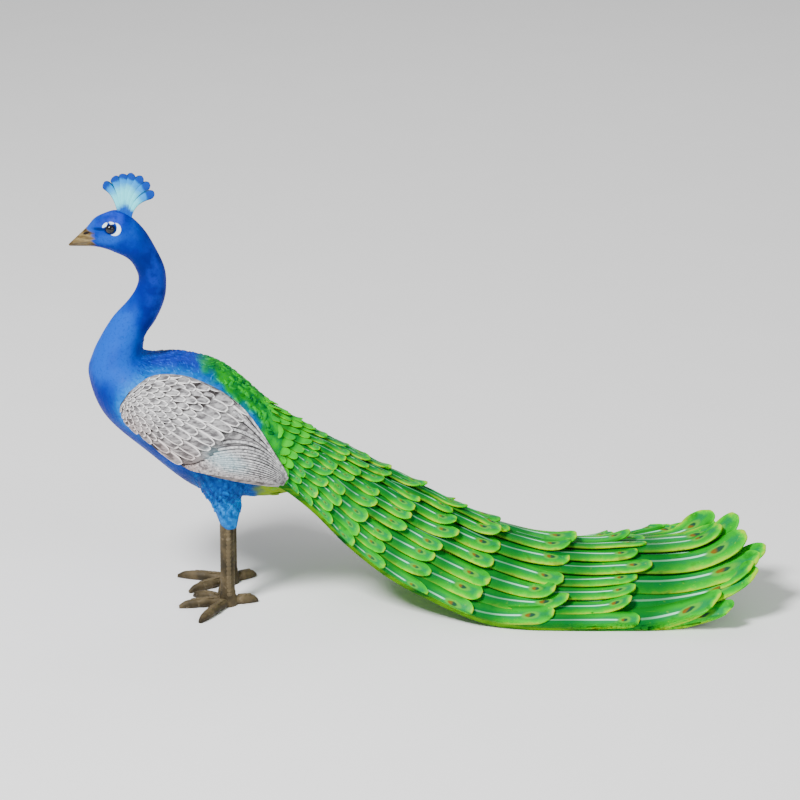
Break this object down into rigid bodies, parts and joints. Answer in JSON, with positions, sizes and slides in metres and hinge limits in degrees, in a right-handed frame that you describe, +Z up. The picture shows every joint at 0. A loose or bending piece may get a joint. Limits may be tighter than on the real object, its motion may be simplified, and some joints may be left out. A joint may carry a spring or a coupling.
{
  "type": "peacock figurine",
  "caption": "Standing peacock garden figurine cast in one piece, with a fan crest, folded wings and a long overlapping feather train that rests on the ground.",
  "frame": {"origin": "on the ground, in the middle of the figurine's box in X and Y", "axes": "+X from the beak towards the train's tips, +Z up, the figurine is about symmetric across the XZ plane"},
  "size_m": [0.8352, 0.2561, 0.535],
  "materials": {
    "blue_paint": "royal blue paint on cast resin, satin, shading to light blue",
    "green_paint": "leaf green paint on cast resin, semi-gloss, with yellow-green rims",
    "wing_paint": "silver grey paint over dark grooves, matte",
    "leg_paint": "brown paint with grey highlights, matte",
    "crest_paint": "pale aqua paint with blue tips, satin",
    "beak_paint": "horn brown paint, satin",
    "eye_paint": "black gloss paint"
  },
  "bodies": {
    "root": {"peacock": "blue_paint"}
  },
  "joints": []
}
